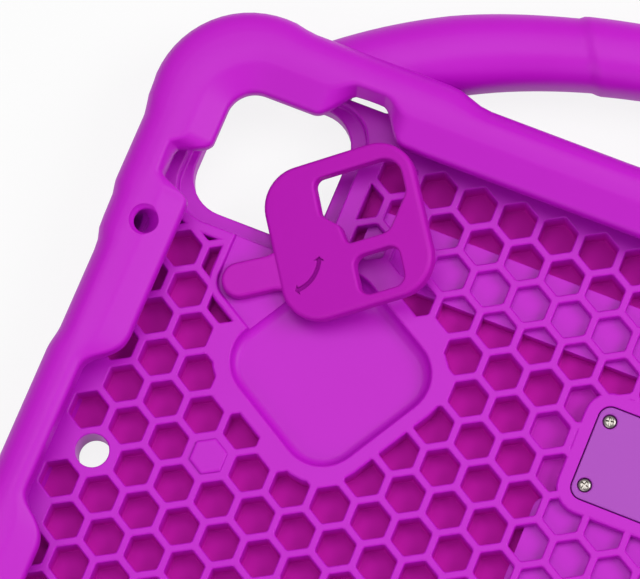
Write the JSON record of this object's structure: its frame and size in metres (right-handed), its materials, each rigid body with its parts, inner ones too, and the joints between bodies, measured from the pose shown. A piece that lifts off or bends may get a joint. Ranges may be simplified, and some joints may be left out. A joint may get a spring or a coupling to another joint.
{
  "type": "kids tablet case",
  "caption": "Magenta foam carrying case for a tablet, with honeycomb bed, arched handle, swivelling camera insert and folding back stand.",
  "frame": {"origin": "middle of the case's outline, handle included, on the plane that it lies on", "axes": "+X along the long side, +Y towards the handle, +Z out of the screen side"},
  "size_m": [0.3066, 0.2778, 0.0248],
  "materials": {
    "foam": "matt closed-cell foam with a fine moulded skin",
    "insert_foam": "smoother matt foam",
    "plate_plastic": "satin moulded plastic",
    "stand_plastic": "satin moulded plastic",
    "steel": "bright plated steel"
  },
  "bodies": {
    "case": {"case_body": "foam", "retaining_plate": "plate_plastic", "screw_1": "steel", "screw_2": "steel", "screw_3": "steel", "screw_4": "steel", "stand_bracket": "stand_plastic", "stand_pin": "steel"},
    "insert": {"camera_insert": "insert_foam"},
    "leg": {"stand_leg": "stand_plastic"}
  },
  "joints": [
    {"name": "insert_swivel", "type": "hinge", "parent": "case", "child": "insert", "pos_m": [-0.1131, 0.03535, 0.0108], "axis": [0, 0, 1], "range_deg": [-69, 51]},
    {"name": "stand_hinge", "type": "hinge", "parent": "case", "child": "leg", "pos_m": [0, 0.01005, 0.0032], "axis": [1, 0, 0], "range_deg": [0, 60]}
  ]
}
